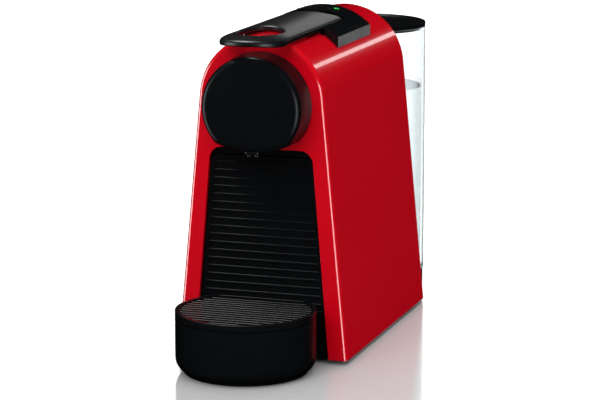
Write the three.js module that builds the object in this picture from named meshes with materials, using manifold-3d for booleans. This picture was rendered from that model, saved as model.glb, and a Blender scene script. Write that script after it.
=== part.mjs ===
// Pod coffee machine. Millimetres, +Z up, the cup side faces -Y, X runs across.
// While it is built, y = 0 is the body's front face; at the end it is centred front to back.
import * as THREE from 'three';
import { mergeVertices } from 'three/addons/utils/BufferGeometryUtils.js';
import Module from 'manifold-3d';

const wasm = await Module();
wasm.setup();

// ---------- Driving sizes ----------
const gap = 0.3;                 // between pieces that touch
const wall = 2.4;                // moulded outer walls
const skin = 1.6;                // thin inner trays
const bodyDepth = 176;
const archCentreZ = 159.5;       // the body's round top is centred here
const archRadius = 39.8;
const sideTilt = Math.atan(0.095);
const footHeight = 2.4;
const baseThick = 2.6;
const edgeRound = 2.6;

const openingTopBelowArch = 29;  // the cup opening's top edge, under the arch centre
const openingHalfAtFloor = 43.4;
const openingSlope = 0.0835;
const openingCorner = 7.5;

const headZ = archCentreZ - 2.2; // brewing axis
const headRadius = 32.5;
const headDepth = 19.7;
const headDraft = 1.3;
const headRound = 3.6;
const chinRadius = 58;           // the shallow arc under the head
const bossRadius = 21.7;
const outletHalf = 4.5;
const outletY = -14;
const outletDrop = 28.3;         // outlet's lower face under the brewing axis
const outletTipX = 2.4;

const trayRadius = 42.5;
const trayCentreY = -28.2;
const trayTop = 37.7;
const gridRingHeight = 4.2;
const neck = { half: 22.6, front: -20 };   // the drip tray's part that runs back under the container
const ribPitch = 5;
const ribHeight = 1.5;

const saddleRadius = 44.8;
const saddleHalf = 30.5;
const saddleFront = 58;
const saddleRear = 127;

const leverHalf = 21;
const leverCrown = 60;
const leverThick = 3.4;
const noseDroop = { stretch: 1.323, from: -2 };   // the lever's nose domes down ahead of here
const leverTopZ = archCentreZ + archRadius + gap + leverThick;
const leverTip = -29.4;
const leverShoulder = -11;
const fingerHole = { across: 13.5, along: 18.4 };
const hinge = { y: 81, z: archCentreZ + 22.5 };
const leverSweep = 27;           // the rear edge's distance from the hinge
const leverRear = hinge.y + 17;
const leverTravel = THREE.MathUtils.degToRad(80);
const crank = { reach: 12, rest: THREE.MathUtils.degToRad(-82) };
const shaftRadius = 2.5;
const shaftFit = 0.06;
const pinRadius = 2;
const pinFit = 0.2;

const cageStroke = 26;
const cageFront = 33;
const cageRear = 62;
const cageRadius = 18.5;
const capsuleRadius = 15.4;
const armPlate = { inner: 16.8, outer: 20.6 };
const framePlate = { inner: 21.4, outer: 23.6 };
const camPlate = { inner: 24, outer: 26.2 };
const chuteHalf = 19.2;
const chuteRear = 62;
const frameBottom = headZ - 19;

const buttonRadius = 5.2;
const buttonX = 10;
const buttonY = 114.5;

const tankRadius = 42.5;
const tankGap = 2.5;             // behind the rear cover
const tankFloorZ = 13;
const tankTopZ = archCentreZ + 21.3;
const lidHeight = 2.3;
const lidSkirt = 2;

const bayRear = bodyDepth - 78;  // the wall between the capsule bay and the works

// ---------- Sizes that follow ----------
const frameRear = bayRear + 23;    // the brew frame rests on the bay wall
const innerInset = wall + gap;
const openingTop = archCentreZ - openingTopBelowArch;
const panelTop = openingTop - 5.3;
const headBackY = -gap;
const headFrameBottom = panelTop + 0.9;
const baseTop = footHeight + baseThick;
const gridTop = trayTop;
const cupTop = gridTop - gridRingHeight - gap;
const tankFrontY = bodyDepth + tankGap;
const tankCentreY = tankFrontY + 33.5;
const tankRearY = tankCentreY + tankRadius;
const connectorY = tankFrontY + 18;
const heaterBox = { half: 25, front: bodyDepth - 46, rear: bodyDepth - 8, top: frameBottom - 4, height: 50 };
const heaterMid = (heaterBox.front + heaterBox.rear) / 2;
const heaterBottom = heaterBox.top - heaterBox.height;
const hoseRadius = 2.4;
const pumpZ = 35;
const pumpFront = bayRear + 14;
const pumpRear = bodyDepth - 18;
const meter = { x: -33, y: bodyDepth - 36, low: 62, high: 76, radius: 10 };
const boardX = 36;
const cord = { inFromSide: 7.136, z: 21, radius: 2.8 };
const cordX = cord.inFromSide - sideHalf(cord.z);
const centreY = (tankRearY + trayCentreY - trayRadius) / 2;

// ---------- Solids ----------
function solid(geometry) {
  const bare = geometry.index ? geometry.toNonIndexed() : geometry.clone();
  bare.deleteAttribute('normal');
  bare.deleteAttribute('uv');
  const merged = mergeVertices(bare, 1e-4);
  return new wasm.Manifold(new wasm.Mesh({
    numProp: 3,
    vertProperties: new Float32Array(merged.attributes.position.array),
    triVerts: new Uint32Array(merged.index.array),
  }));
}

function extruded(points, length, round) {
  const geometry = new THREE.ExtrudeGeometry(new THREE.Shape(points), {
    depth: length - 2 * round, bevelEnabled: round > 0, bevelThickness: round,
    bevelSize: round, bevelOffset: -round, bevelSegments: 2,
  });
  return geometry.translate(0, 0, round);
}

const joined = (parts) => parts.reduce((all, part) => all.add(part));
const vec = (a, b) => new THREE.Vector2(a, b);

// Outlines are (x, y) for alongZ, (x, z) for alongY and (y, z) for alongX.
const alongZ = (points, low, high, round = 0) =>
  solid(extruded(points, high - low, round).translate(0, 0, low));
const alongY = (points, low, high, round = 0) =>
  solid(extruded(points, high - low, round).rotateX(Math.PI / 2).translate(0, high, 0));
const toX = new THREE.Matrix4().makeBasis(
  new THREE.Vector3(0, 1, 0), new THREE.Vector3(0, 0, 1), new THREE.Vector3(1, 0, 0));
const alongX = (points, low, high, round = 0) =>
  solid(extruded(points, high - low, round).applyMatrix4(toX).translate(low, 0, 0));

function box(x0, x1, y0, y1, z0, z1) {
  const geometry = new THREE.BoxGeometry(x1 - x0, y1 - y0, z1 - z0);
  return solid(geometry.translate((x0 + x1) / 2, (y0 + y1) / 2, (z0 + z1) / 2));
}

function circle(a, b, radius, sides = 32, from = 0, turn = 2 * Math.PI) {
  const whole = turn === 2 * Math.PI;
  const points = [];
  for (let i = 0; i < sides + (whole ? 0 : 1); i++) {
    const angle = from + turn * i / sides;
    points.push(vec(a + radius * Math.cos(angle), b + radius * Math.sin(angle)));
  }
  return points;
}

const discX = (y, z, r, x0, x1, sides) => alongX(circle(y, z, r, sides), x0, x1);
const discY = (x, z, r, y0, y1, sides) => alongY(circle(x, z, r, sides), y0, y1);
const discZ = (x, y, r, z0, z1, sides) => alongZ(circle(x, y, r, sides), z0, z1);

function roundedRect(a0, a1, b0, b1, radius) {
  const quarter = Math.PI / 2;
  return [
    ...circle(a1 - radius, b1 - radius, radius, 5, 0, quarter),
    ...circle(a0 + radius, b1 - radius, radius, 5, quarter, quarter),
    ...circle(a0 + radius, b0 + radius, radius, 5, 2 * quarter, quarter),
    ...circle(a1 - radius, b0 + radius, radius, 5, 3 * quarter, quarter),
  ];
}

// The two mirror images of one solid, left and right.
const both = (part) => part.add(part.mirror([1, 0, 0]));

// A round bar or slot along a path of (a, b) points.
function band(path, halfWidth) {
  const left = [];
  const right = [];
  path.forEach((point, i) => {
    const before = path[Math.max(i - 1, 0)];
    const after = path[Math.min(i + 1, path.length - 1)];
    const along = after.clone().sub(before).normalize();
    const side = vec(-along.y, along.x).multiplyScalar(halfWidth);
    left.push(point.clone().add(side));
    right.unshift(point.clone().sub(side));
  });
  const capAt = (end, start) => {
    const from = Math.atan2(start.y - end.y, start.x - end.x);
    return circle(end.x, end.y, halfWidth, 8, from, -Math.PI).slice(1, -1);
  };
  const last = path[path.length - 1];
  const farCap = capAt(last, left[left.length - 1]);
  const outline = [...left, ...farCap, ...right, ...capAt(path[0], right[right.length - 1])];
  return outline.reverse();
}

function hose(points, radius) {
  const path = new THREE.CatmullRomCurve3(points.map((p) => new THREE.Vector3(...p)));
  const section = new THREE.Shape(circle(0, 0, radius, 7));
  return solid(new THREE.ExtrudeGeometry(section, { steps: 16, extrudePath: path, bevelEnabled: false }));
}

// Half the body's width at a height on its flat sides, for a round top of this radius.
function sideHalf(z, radius = archRadius) {
  return (radius - (z - archCentreZ) * Math.sin(sideTilt)) / Math.cos(sideTilt);
}

// The body's cross-section: a round top with straight sides that flare out below it.
function archOutline(inset, low) {
  const radius = archRadius - inset;
  const floorHalf = sideHalf(low, radius);
  return [
    vec(-floorHalf, low), vec(floorHalf, low),
    ...circle(0, archCentreZ, radius, 36, sideTilt, Math.PI - 2 * sideTilt),
  ];
}

const openingHalf = (z) => openingHalfAtFloor - openingSlope * z;

function openingOutline(clear, low, top, corner) {
  const topHalf = openingHalf(top) - clear;
  const lowHalf = openingHalf(low) - clear;
  const quarter = Math.PI / 2;
  return [
    vec(-lowHalf, low), vec(lowHalf, low),
    ...circle(topHalf - corner, top - corner, corner, 6, 0, quarter),
    ...circle(corner - topHalf, top - corner, corner, 6, quarter, quarter),
  ];
}

// ---------- Body ----------
const leverWell = () => joined([
  discX(hinge.y, hinge.z, leverSweep + 0.5, -leverHalf - 0.4, leverHalf + 0.4, 60),
  box(-leverHalf - 0.4, leverHalf + 0.4, hinge.y, leverRear + 0.7, hinge.z + 15, leverTopZ + 10),
]);

// The direction a button points in: square to the arch under it.
const buttonAngle = Math.asin(buttonX / saddleRadius);

function buttonRod(radius, from, to) {
  const rod = solid(extruded(circle(0, 0, radius, 28), to - from, 0).translate(0, 0, from));
  return rod.rotate([0, THREE.MathUtils.radToDeg(buttonAngle), 0]).translate([0, buttonY, archCentreZ]);
}

function bodyShell() {
  const outer = alongY(archOutline(0, footHeight), 0, bodyDepth, edgeRound);
  const inner = alongY(archOutline(wall, -10), wall, bodyDepth + 10);
  const opening = alongY(openingOutline(0, -10, openingTop, openingCorner), -5, wall + 5);
  const headHole = discY(0, headZ, bossRadius + gap, -5, wall + 5, 48);
  const chuteHole = box(-chuteHalf, chuteHalf, cageFront, chuteRear, archCentreZ + 20, leverTopZ);
  const armHole = box(-leverHalf - 0.4, leverHalf + 0.4, chuteRear - 1, hinge.y, archCentreZ + 20, leverTopZ);
  return outer.subtract(inner).subtract(opening).subtract(headHole).subtract(chuteHole).subtract(armHole)
    .subtract(leverWell()).subtract(both(buttonRod(buttonRadius + gap, 20, 60)));
}

function dockOutline(inset) {
  return tankOutline(inset, bodyDepth - 6);
}

function tankOutline(inset, front) {
  const radius = tankRadius - inset;
  const cut = Math.asin(Math.min(1, (tankCentreY - front) / radius));
  return circle(0, tankCentreY, radius, 44, -cut, Math.PI + 2 * cut);
}

function basePlate() {
  const floorHalf = archOutline(innerInset, footHeight)[1].x - 0.3;
  const plate = box(-floorHalf, floorHalf, innerInset, bodyDepth, footHeight, baseTop);
  const dock = alongZ(dockOutline(0.4), footHeight, tankFloorZ - gap)
    .subtract(alongZ(dockOutline(0.4 + wall), -5, tankFloorZ - gap - wall))
    .subtract(box(-tankRadius, tankRadius, bodyDepth - 10, bodyDepth + gap, baseTop, tankFloorZ + 5));
  const trayNotch = discZ(0, trayCentreY, trayRadius + 0.8, -5, baseTop + 5, 64);
  const panelNotch = box(-openingHalfAtFloor - 0.2, openingHalfAtFloor + 0.2, -5, 7, -5, baseTop + 5);
  return plate.add(dock).subtract(trayNotch).subtract(panelNotch)
    .subtract(discZ(0, connectorY, 5 + gap, 0, tankFloorZ + 5));
}

function rearCover() {
  const cover = alongY(archOutline(innerInset, baseTop + gap), bodyDepth - 4, bodyDepth - gap, 0.8);
  const hoseNotch = box(-12, 12, bodyDepth - 10, bodyDepth + 5, -5, tankFloorZ + 2);
  const slots = [];
  for (let i = 0; i < 6; i++) {
    const z = archCentreZ - 4 * i;
    slots.push(box(-16, 16, bodyDepth - 10, bodyDepth + 5, z, z + 1.6));
  }
  return cover.subtract(hoseNotch).subtract(joined(slots)).subtract(cordHole(cord.radius + gap));
}

const cordHole = (radius) => discY(cordX, cord.z, radius, bodyDepth - 10, bodyDepth + 6, 24);

function cordGland() {
  const neck = discY(cordX, cord.z, cord.radius, bodyDepth - 7, bodyDepth + 5, 24);
  const flange = discY(cordX, cord.z, cord.radius + 1.6, bodyDepth, bodyDepth + 1.4, 24);
  return neck.add(flange).subtract(discY(cordX, cord.z, cord.radius - 1, bodyDepth - 9, bodyDepth + 7, 16));
}

const foot = (x, y) => discZ(x, y, 5.5, 0, footHeight - gap, 24);

function bayWall() {
  const outline = archOutline(innerInset + gap, baseTop + gap);
  return alongY(outline, bayRear, bayRear + 2.4)
    .intersect(box(-70, 70, 0, bodyDepth, 0, frameBottom - gap));
}

// ---------- Head ----------
function headDisc(inset) {
  const front = headDepth - inset;
  const radiusFront = headRadius - headDraft - inset;
  const round = headRound;
  const profile = [vec(0, inset > 0 ? -5 : 0), vec(headRadius - inset, inset > 0 ? -5 : 0)];
  profile.push(vec(headRadius - inset, 0.01));
  circle(0, 0, round, 3, 0, Math.PI / 2).forEach((p) =>
    profile.push(vec(radiusFront - round + p.x, front - round + p.y)));
  profile.push(vec(0, front + (inset > 0 ? 0 : 0.2)));
  const lathe = new THREE.LatheGeometry(profile, 56).rotateX(Math.PI);
  const chin = discY(0, headZ + 31.7, chinRadius - inset, -headDepth - 10, 10, 110);
  return solid(lathe.translate(0, headBackY, headZ)).intersect(chin);
}

function headCover() {
  const slotHalf = outletHalf + gap;
  const slot = box(-slotHalf, slotHalf, outletY - 3 - gap, outletY + 3 + gap, headZ - 40, headZ - 20);
  return headDisc(0).subtract(headDisc(2)).subtract(slot);
}

function headFrame() {
  const back = alongY(archOutline(innerInset, headFrameBottom), innerInset, 7)
    .intersect(box(-60, 60, -5, 10, headFrameBottom, hinge.z + 4))
    .subtract(alongY(openingOutline(gap, 0, openingTop + 0, openingCorner), 6, 5 + 1));
  const boss = discY(0, headZ, bossRadius, -4, 7, 48);
  const channel = discY(0, headZ - 11, 5 + gap, -10, 10, 24);
  return back.add(boss).subtract(channel);
}

function coffeeChannel() {
  const tube = discY(0, headZ - 11, 5, outletY + 3 + gap, 26.7, 24);
  return tube.subtract(discY(0, headZ - 11, 2.6, -20, 40, 16));
}

function coffeeOutlet() {
  const low = headZ - outletDrop;
  const spout = alongY(roundedRect(-outletHalf, outletHalf, low, headZ - 4, 2), outletY - 3, outletY + 3);
  const nozzles = both(discZ(outletTipX, outletY, 1.1, low - 1, low + 3, 14));
  const bores = both(discZ(outletTipX, outletY, 0.6, low - 5, headZ - 12, 10));
  return spout.add(nozzles).subtract(bores)
    .subtract(discY(0, headZ - 11, 2.6, outletY, 40, 16));
}

// ---------- Saddle, lever, buttons ----------
function topHousing() {
  const arch = discY(0, archCentreZ, saddleRadius, saddleFront, saddleRear, 90)
    .subtract(discY(0, archCentreZ, archRadius + gap, saddleFront - 5, saddleRear + 5, 90))
    .intersect(box(-saddleHalf, saddleHalf, 0, 200, archCentreZ, 300));
  const leverCut = box(-leverHalf - 0.4, leverHalf + 0.4, 0, hinge.y, archCentreZ, 300);
  return arch.subtract(leverCut).subtract(leverWell())
    .subtract(both(buttonRod(buttonRadius + gap, 20, 60)));
}

function leverOutline() {
  const reach = leverShoulder - leverTip;
  const nose = circle(0, 0, 1, 28, Math.PI, Math.PI)
    .map((p) => vec(p.x * leverHalf, leverShoulder + p.y * reach));
  return [...nose, vec(leverHalf, leverRear), vec(-leverHalf, leverRear)];
}

const crankPin = (turn) => {
  const angle = crank.rest + turn;
  return vec(hinge.y - crank.reach * Math.cos(angle), hinge.z + crank.reach * Math.sin(angle));
};

// What lies under the lever's skin: a crown along the body that domes down at the nose.
function leverCrownSolid(inset) {
  const radius = leverCrown - inset;
  const profile = circle(0, 0, radius, 23, -Math.PI / 2, Math.PI / 2)
    .map((p) => vec(p.x, noseDroop.from + noseDroop.stretch * p.y));
  profile.push(vec(radius, leverRear + 9), vec(0, leverRear + 9));
  return solid(new THREE.LatheGeometry(profile, 144).translate(0, 0, leverTopZ - leverCrown));
}

function lever() {
  const crownZ = leverTopZ - leverCrown;
  const plan = alongZ(leverOutline(), crownZ, leverTopZ + 5);
  const hole = circle(0, 0, 1, 40).map((p) => vec(p.x * fingerHole.across, p.y * fingerHole.along));
  const plate = leverCrownSolid(0).subtract(leverCrownSolid(leverThick))
    .intersect(plan).subtract(alongZ(hole, crownZ, leverTopZ + 9));
  const armTop = leverTopZ - 4.8;
  const outline = [
    vec(63, armTop), vec(68, hinge.z + 6), vec(hinge.y - 7, hinge.z - 7), vec(hinge.y + 7, hinge.z - 7),
    vec(hinge.y + 12, hinge.z + 6), vec(hinge.y + 14, armTop),
  ];
  const arm = alongX(outline, armPlate.inner, armPlate.outer);
  const link = alongX(band([vec(hinge.y, hinge.z), crankPin(0)], 4.4), armPlate.inner, armPlate.outer);
  const pin = discX(crankPin(0).x, crankPin(0).y, pinRadius, armPlate.inner, camPlate.outer - gap, 20);
  const bore = discX(hinge.y, hinge.z, shaftRadius + shaftFit, -40, 40, 48);
  return plate.add(both(arm.add(link).add(pin))).subtract(bore);
}

const leverShaft = () =>
  discX(hinge.y, hinge.z, shaftRadius, -framePlate.outer, framePlate.outer, 48);

function button() {
  const cap = buttonRod(buttonRadius, saddleRadius - 6.5, saddleRadius + 0.25);
  return cap.add(buttonRod(2, 31.5, saddleRadius - 6));
}

function buttonBoard() {
  const top = archCentreZ + 29;
  const board = box(-17, 17, 111, 125, top - 1.6, top);
  const posts = both(box(15, 17, 116, 120, top, top + 3));
  return board.add(posts);
}

// ---------- Brewing unit ----------
function brewFrame() {
  const top = hinge.z + 3.5;
  const { inner, outer } = framePlate;
  const side = box(inner, outer, 7.3, frameRear, frameBottom, top);
  const front = box(-outer, outer, 22, 26.7, frameBottom, headZ + 19);
  const rear = box(-outer, outer, frameRear - 3, frameRear, frameBottom, headZ + 19);
  const arc = [];
  for (let i = 0; i <= 12; i++) arc.push(crankPin(leverTravel * i / 12));
  const pinSlot = both(alongX(band(arc, pinRadius + pinFit), inner - 1, outer + 1));
  const guide = both(box(inner - 1, outer + 1, 46.4, 61.6 + cageStroke, headZ - 4.2, headZ + 4.2));
  return both(side).add(front).add(rear).subtract(pinSlot).subtract(guide)
    .subtract(discX(hinge.y, hinge.z, shaftRadius + shaftFit, -40, 40, 48))
    .subtract(discY(0, headZ - 11, 5 + gap, 0, 40, 24))
    .subtract(discY(0, headZ, 4.4 + gap, frameRear - 9, frameRear + 9, 24));
}

function extractionPlate() {
  const holes = [];
  for (let i = 0; i < 8; i++) {
    const angle = 2 * Math.PI * i / 8;
    holes.push(discY(10 * Math.cos(angle), headZ + 10 * Math.sin(angle), 1, 20, 40, 10));
  }
  return discY(0, headZ, cageRadius, 27, 30, 40).subtract(joined(holes));
}

function capsuleCage() {
  const body = discY(0, headZ, cageRadius, cageFront, cageRear, 48)
    .subtract(discY(0, headZ, capsuleRadius, cageFront - 5, cageRear - 3, 48));
  const tail = discY(0, headZ, 3, cageRear - 2, cageRear + 30, 20);
  const trunnion = both(box(16, camPlate.inner + 1, 46.8, 61.2, headZ - 3.9, headZ + 3.9));
  const well = discY(0, headZ, capsuleRadius, cageFront - 5, cageRear - 3, 48);
  const slot = [];
  for (let i = 0; i <= 16; i++) {
    const pin = crankPin(leverTravel * i / 16);
    slot.push(vec(pin.x - cageStroke * i / 16, pin.y));
  }
  const front = slot[slot.length - 1].x - 4.5;
  const rear = slot[0].x + 5;
  const plate = box(camPlate.inner, camPlate.outer, front, rear, headZ - 7, hinge.z + 3.4);
  const cut = both(alongX(band(slot, pinRadius + pinFit), camPlate.inner - 1, camPlate.outer + 1));
  return body.add(tail).add(trunnion).subtract(well).add(both(plate)).subtract(cut)
    .subtract(discY(0, headZ, 1.5, cageRear - 8, cageRear + 40, 12));
}

function cageSeal() {
  return discY(0, headZ, cageRadius, 30 + gap, cageFront - gap, 40)
    .subtract(discY(0, headZ, capsuleRadius + 0.4, 20, 40, 40));
}

function injectionPlate() {
  const parts = [discY(0, headZ, capsuleRadius - gap, cageRear - 5.5, cageRear - 3 - gap, 36)];
  for (let i = 0; i < 3; i++) {
    const angle = 2 * Math.PI * i / 3 + Math.PI / 2;
    const spike = new THREE.ConeGeometry(1.6, 6, 12).rotateX(Math.PI);
    parts.push(solid(spike.translate(7 * Math.cos(angle), cageRear - 8, headZ + 7 * Math.sin(angle))));
  }
  return joined(parts).subtract(discY(0, headZ, 1.5, 40, 70, 12));
}

function inletBlock() {
  const block = discY(0, headZ, 9, cageRear + cageStroke + 1.5, frameRear - 3 - gap, 32);
  const nozzle = discY(0, headZ, 4.4, frameRear - 11, frameRear + 6, 24);
  return block.add(nozzle).subtract(discY(0, headZ, 3.3, cageRear, frameRear - 0.5, 20))
    .subtract(discY(0, headZ, 1.5, frameRear - 21, frameRear + 9, 12));
}

function capsuleChute() {
  const half = framePlate.inner - 0.5;
  const low = hinge.z - 4;
  const collar = box(-half, half, cageFront - 2, chuteRear - 1 - gap, low, leverTopZ)
    .subtract(box(-chuteHalf, chuteHalf, cageFront, chuteRear - 3, low - 5, leverTopZ + 5));
  return collar.intersect(discY(0, archCentreZ, archRadius - innerInset, 0, 90, 90));
}

// ---------- Water and power ----------
function heater() {
  const { half, front, rear, top, height } = heaterBox;
  const block = alongZ(roundedRect(-half, half, front, rear, 6), top - height, top, 2);
  const fins = [];
  for (let i = 0; i < 5; i++) {
    const z = top - 9 - 8 * i;
    fins.push(box(-half - 2, half + 2, front + 8, rear - 8, z - 1.5, z));
  }
  return block.add(joined(fins));
}

const thermostat = () =>
  discX(heaterMid, heaterBox.top - 25, 7, -heaterBox.half - 8, -heaterBox.half - 2 - gap, 24);
const thermalFuse = () =>
  discY(heaterBox.half + 4.6, heaterBox.top - 25, 2.2, heaterBox.front + 6, heaterBox.rear - 6, 16);

function pumpBody() {
  const barrel = discY(0, pumpZ, 9, pumpFront, pumpRear, 32);
  const chamber = discY(0, pumpZ, 4.4, pumpFront + 8, pumpRear - 8, 20);
  const port = discY(0, pumpZ, 2, pumpFront - 5, pumpRear + 5, 14);
  return barrel.subtract(chamber).subtract(port);
}

function pumpCoil() {
  const block = alongY(roundedRect(-17, 17, pumpZ - 17, pumpZ + 17, 3), pumpFront + 8, pumpRear - 10, 1);
  return block.subtract(discY(0, pumpZ, 9 + gap, 0, bodyDepth, 32));
}

const pumpPlunger = () => discY(0, pumpZ, 4, pumpFront + 12, pumpRear - 14, 20);

function pumpMount(y) {
  const block = box(-14, 14, y, y + 4, baseTop + gap, pumpZ + 6);
  return block.subtract(discY(0, pumpZ, 9 + gap, 0, bodyDepth, 32));
}

function flowMeter() {
  const { x, y, low, high, radius } = meter;
  return discZ(x, y, radius, low, high, 32).subtract(discZ(x, y, radius - 2, low + 2, high - 2, 32))
    .subtract(discZ(x, y, 1.6, low - 5, high + 5, 14));
}

function flowRotor() {
  const { x, y, low, high, radius } = meter;
  const blades = [discZ(x, y, 3, low + 3, high - 3, 20)];
  for (let i = 0; i < 4; i++) {
    const blade = box(-radius + 3, radius - 3, -0.8, 0.8, low + 3.5, high - 3.5);
    blades.push(blade.rotate([0, 0, 45 * i]).translate([x, y, 0]));
  }
  return joined(blades);
}

const supplyHose = () => hose([
  [0, connectorY - 8.4, tankFloorZ - 5.6], [0, bodyDepth + 4, tankFloorZ - 5.4], [-5, bodyDepth - 4, 8.4],
  [-18, bodyDepth - 13, 18], [-30, meter.y + 10, 38], [meter.x, meter.y, meter.low - 10],
  [meter.x, meter.y, meter.low - gap],
], hoseRadius);

const meterHose = () => hose([
  [meter.x, meter.y, meter.high + gap], [meter.x, meter.y, meter.high + 5],
  [-28, bodyDepth - 20, meter.high + 2], [-16, bodyDepth - 8.5, pumpZ + 26], [-3, bodyDepth - 8, pumpZ + 6],
  [0, pumpRear + 5, pumpZ], [0, pumpRear + gap, pumpZ],
], hoseRadius);

const heaterHose = () => hose([
  [0, pumpFront - gap, pumpZ], [0, pumpFront - 5, pumpZ], [4, pumpFront - 8, pumpZ + 14],
  [10, pumpFront, heaterBottom - 18], [12, heaterMid, heaterBottom - 8], [12, heaterMid, heaterBottom - gap],
], hoseRadius);

const brewHose = () => hose([
  [-12, heaterBox.front - gap, heaterBox.top - 22], [-12, heaterBox.front - 4, heaterBox.top - 22],
  [-14, heaterBox.front - 4, heaterBox.top - 4], [-10, frameRear + 10, headZ - 12],
  [-2, frameRear + 13, headZ - 1], [0, frameRear + 10, headZ], [0, frameRear + 6 + gap, headZ],
], hoseRadius);

const controlBoard = () => box(boardX, boardX + 1.6, bayRear + 6, bodyDepth - 10, 62, heaterBox.top - 8);
const relay = () => box(boardX - 9, boardX - gap, bayRear + 12, bayRear + 28, 64, 80);
const capacitor = () => discX(bodyDepth - 30, 71, 6, boardX - 10, boardX - gap, 24);

// ---------- Pull-out drip unit ----------
function trayRound(radius, rear, low, high) {
  return discZ(0, trayCentreY, radius, low, high, 64).intersect(box(-99, 99, -99, rear, low, high));
}

function dripBase() {
  const profile = [vec(0, 0), vec(trayRadius - 5, 0)];
  circle(0, 0, 1, 4, -Math.PI / 2, Math.PI / 2).forEach((p) =>
    profile.push(vec(trayRadius - 5 + 5 * p.x, 1.8 + 8 * (1 + p.y))));
  profile.push(vec(trayRadius, cupTop), vec(0, cupTop));
  const cup = solid(new THREE.LatheGeometry(profile, 64).rotateX(Math.PI / 2).translate(0, trayCentreY, 0));
  const rear = innerInset - gap;
  const deckTop = baseTop + gap + 2.2;
  const front = cup.intersect(box(-99, 99, -99, rear, -1, 99))
    .subtract(trayRound(trayRadius - 7, -4, wall, 99))
    .subtract(trayRound(trayRadius - wall, rear + 5, 10.5, 99))
    .subtract(box(-neck.half - 2 * gap, neck.half + 2 * gap, neck.front - gap, rear + 5, deckTop, 99));
  const deck = box(-41.5, 41.5, 7, bayRear - 4, baseTop + gap, deckTop);
  const tongue = box(-24, 24, -1, 8, baseTop + gap, deckTop);
  return front.add(deck).add(tongue);
}

function dripTray() {
  const low = baseTop + gap + 2.2 + gap;
  const high = 22;
  const shape = (inset, bottom, top) => trayRound(trayRadius - 7.4 - inset, -4.4 - inset, bottom, top)
    .add(box(inset - neck.half, neck.half - inset, neck.front, bayRear - 4.5 - inset, bottom, top));
  return shape(0, low, high).subtract(shape(skin, low + skin, high + 5));
}

function dripGrid() {
  const low = gridTop - gridRingHeight;
  const rear = innerInset - gap;
  const ring = trayRound(trayRadius, rear, low, gridTop)
    .subtract(trayRound(trayRadius - 2.9, rear - 1.6, low - 5, gridTop + 5));
  const ribs = [];
  for (let y = rear - 1.6 - ribPitch; y > trayCentreY - trayRadius + 3; y -= ribPitch) {
    ribs.push(box(-trayRadius, trayRadius, y, y + 2.2, low + 1, gridTop - 0.7));
  }
  const spine = [-16, 0, 16].map((x) => box(x - 1.1, x + 1.1, -99, 99, low + 0.2, gridTop - 1.8));
  const inside = trayRound(trayRadius - 2, rear, low, gridTop);
  return ring.add(joined([...ribs, ...spine]).intersect(inside));
}

function frontPanel() {
  const back = alongY(openingOutline(0.5, 3, panelTop, 5), 3.6, 6);
  const frame = alongY(openingOutline(0.5, 3, panelTop, 5), 3, 6)
    .subtract(alongY(openingOutline(2.9, 9, panelTop - 2.4, 4), 0, 9));
  const ribs = [];
  for (let z = trayTop - 3; z < panelTop - 4; z += ribPitch) {
    const half = openingHalf(z + ribHeight) - 2;
    ribs.push(box(-half, half, 3, 4.2, z, z + ribHeight));
  }
  const foot = alongY(openingOutline(0.5, 3, trayTop - 6, 1), 3, 6);
  const passage = box(-24, 24, 0, 9, -5, 24);
  return back.add(frame).add(foot).add(joined(ribs)).subtract(passage);
}

function capsuleContainer() {
  const half = openingHalf(panelTop) - 2;
  const low = 22 + gap + 0.7;
  const top = panelTop - 7;
  const outer = alongZ(roundedRect(-half, half, 6.4, bayRear - 4, 6), low, top);
  const hollow = roundedRect(-half + skin, half - skin, 6.4 + skin, bayRear - 4 - skin, 5);
  const inner = alongZ(hollow, low + skin, top + 5);
  const drains = [];
  for (let i = 0; i < 5; i++) drains.push(box(-12, 12, 28 + 12 * i, 30 + 12 * i, low - 5, low + 5));
  return outer.subtract(inner).subtract(joined(drains));
}

// ---------- Water tank ----------
function waterTank() {
  const outer = alongZ(tankOutline(0, tankFrontY), tankFloorZ, tankTopZ);
  const inner = alongZ(tankOutline(2.2, tankFrontY + 2.2), tankFloorZ + 3, tankTopZ + 5);
  return outer.subtract(inner).subtract(discZ(0, connectorY, 6.6, 0, tankFloorZ + 8, 32));
}

function tankLid() {
  const flange = alongZ(tankOutline(0, tankFrontY), tankTopZ + gap, tankTopZ + gap + lidHeight, 0.8);
  const recess = alongZ(tankOutline(4.5, tankFrontY + 4.5), tankTopZ + gap + 1.4, tankTopZ + 9);
  const skirt = alongZ(tankOutline(2.6, tankFrontY + 2.6), tankTopZ - lidSkirt, tankTopZ + 1)
    .subtract(alongZ(tankOutline(4.4, tankFrontY + 4.4), tankTopZ - 9, tankTopZ + gap + 0.6));
  return flange.subtract(recess).add(skirt);
}

function tankConnector() {
  const tube = discZ(0, connectorY, 5, tankFloorZ - 6, tankFloorZ + 2.4, 28);
  const flange = discZ(0, connectorY, 8, tankFloorZ - 5.2, tankFloorZ - gap - wall - gap, 28);
  return tube.add(flange).subtract(discZ(0, connectorY, 2.6, tankFloorZ - 4, tankFloorZ + 9, 20));
}

const tankSeal = () => discZ(0, connectorY, 6.3, tankFloorZ + 0.4, tankFloorZ + 2, 28)
  .subtract(discZ(0, connectorY, 5.2, 0, 50, 28));

function tankValve() {
  const seat = tankFloorZ + 3 + 2.8;
  return discZ(0, connectorY, 9, seat, seat + 1.8, 28).add(discZ(0, connectorY, 1.3, seat - 3, seat + 6, 14));
}

// ---------- The group ----------
const machine = new THREE.Group();
machine.name = 'pod_coffee_machine';

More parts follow.
